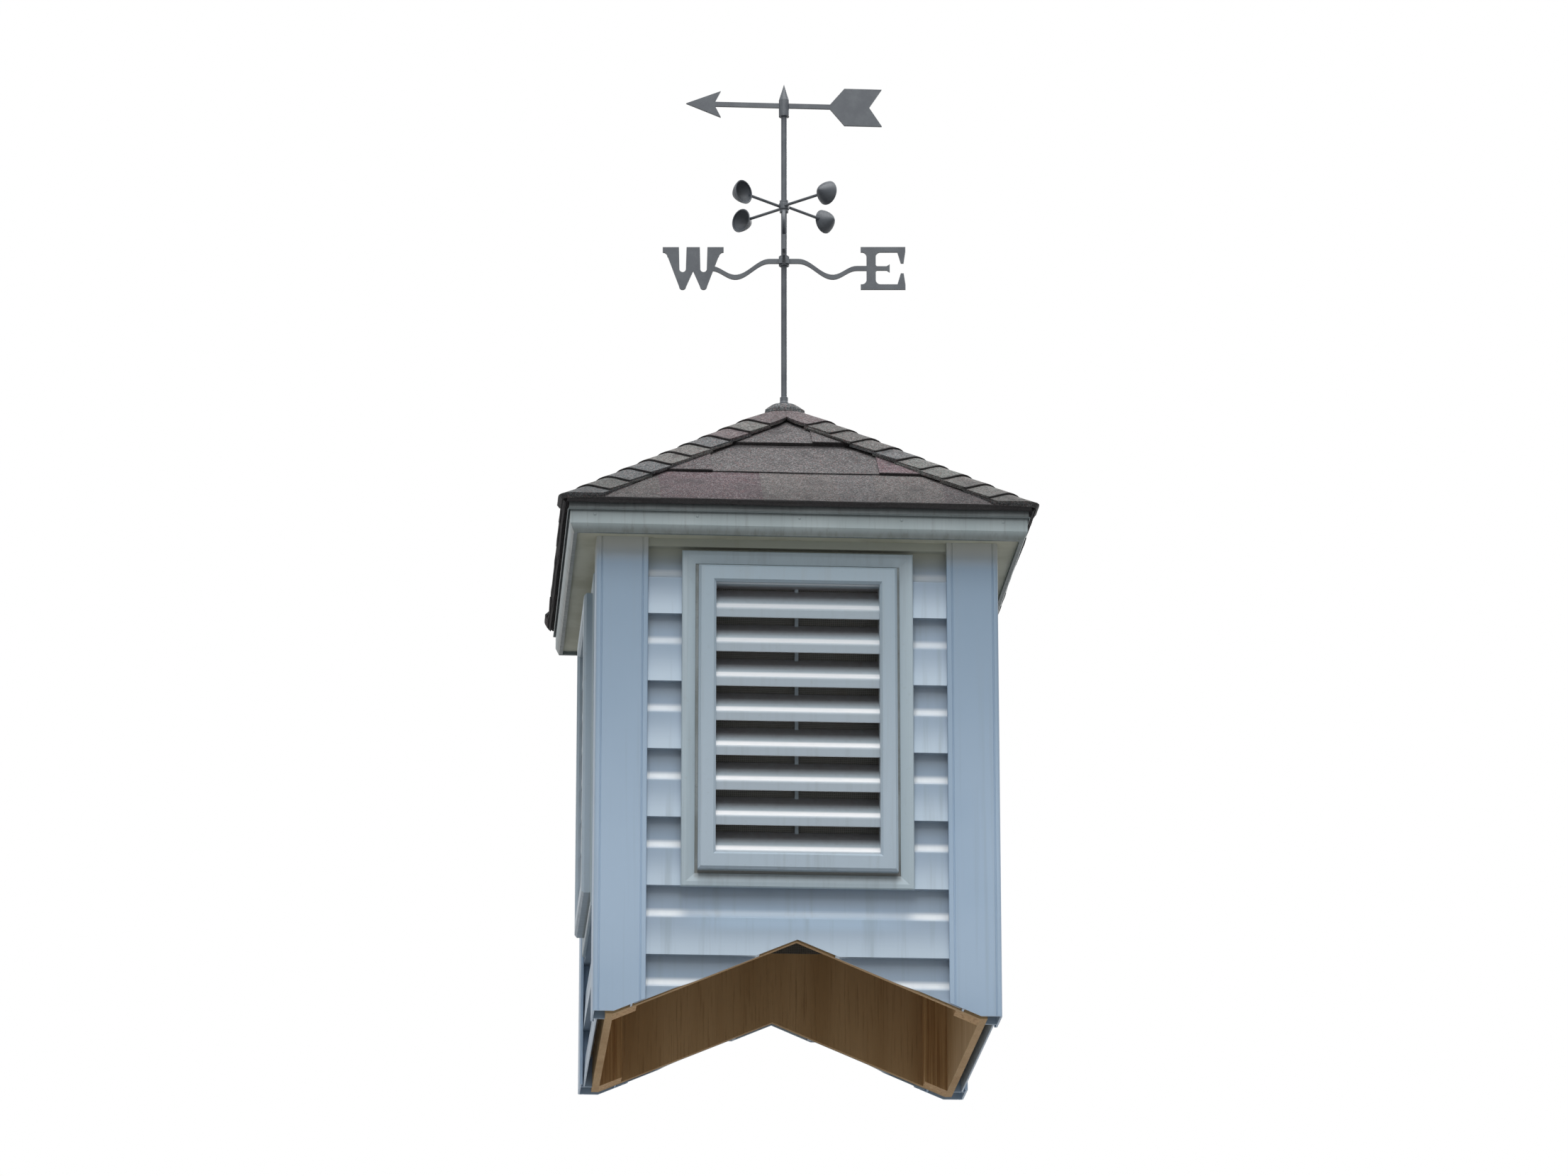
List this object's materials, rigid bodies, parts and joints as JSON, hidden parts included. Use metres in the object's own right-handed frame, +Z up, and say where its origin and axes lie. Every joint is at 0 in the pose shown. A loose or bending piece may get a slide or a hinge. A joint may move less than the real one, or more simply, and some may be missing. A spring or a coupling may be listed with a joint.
{
  "type": "garage cupola with weathervane",
  "caption": "Square louvred roof cupola with lap siding, corner posts, hipped shingle roof and a compass weathervane with a turning wind-cup rotor.",
  "frame": {"origin": "centre of the square body, level with the feet of the side walls", "axes": "+Z up, front louvre faces -Y, +X to the right seen from the front, ridge of the saddle runs along Y"},
  "size_m": [0.782, 0.782, 1.7227],
  "materials": {
    "plywood": "raw softwood plywood",
    "framing": "planed softwood",
    "siding_vinyl": "matt white vinyl, fine grain",
    "post_vinyl": "matt white vinyl",
    "vent_vinyl": "moulded white vinyl",
    "screen_mesh": "dark woven mesh",
    "soffit_paint": "white coated aluminium",
    "fascia_paint": "white coated aluminium wrap",
    "shingle": "mineral granules, brown, grey and dull red blend",
    "vane_paint": "weathered dark grey enamel"
  },
  "bodies": {
    "cupola": {"wall_front": "plywood", "wall_right": "plywood", "wall_back": "plywood", "wall_left": "plywood", "corner_studs": "framing", "siding_front": "siding_vinyl", "siding_right": "siding_vinyl", "siding_back": "siding_vinyl", "siding_left": "siding_vinyl", "post_front_left": "post_vinyl", "post_front_right": "post_vinyl", "post_back_right": "post_vinyl", "post_back_left": "post_vinyl", "vent_trim_front": "vent_vinyl", "vent_trim_right": "vent_vinyl", "vent_trim_back": "vent_vinyl", "vent_trim_left": "vent_vinyl", "louvre_front": "vent_vinyl", "louvre_right": "vent_vinyl", "louvre_back": "vent_vinyl", "louvre_left": "vent_vinyl", "insect_screens": "screen_mesh", "soffit": "soffit_paint", "fascia": "fascia_paint", "drip_edge": "fascia_paint", "roof_frame": "framing", "roof_deck": "plywood", "shingles_front": "shingle", "shingles_right": "shingle", "shingles_back": "shingle", "shingles_left": "shingle", "hip_caps_front_left": "shingle", "hip_caps_front_right": "shingle", "hip_caps_back_right": "shingle", "hip_caps_back_left": "shingle", "apex_cap": "shingle", "rod": "vane_paint", "rod_socket": "vane_paint", "compass_hub": "vane_paint", "compass_south": "vane_paint", "compass_east": "vane_paint", "compass_north": "vane_paint", "compass_west": "vane_paint", "arrow": "vane_paint"},
    "rotor": {"wind_rotor": "vane_paint"}
  },
  "joints": [
    {"name": "rotor_spin", "type": "hinge", "parent": "cupola", "child": "rotor", "pos_m": [0, 0, 1.49675], "axis": [0, 0, 1], "continuous": true}
  ]
}
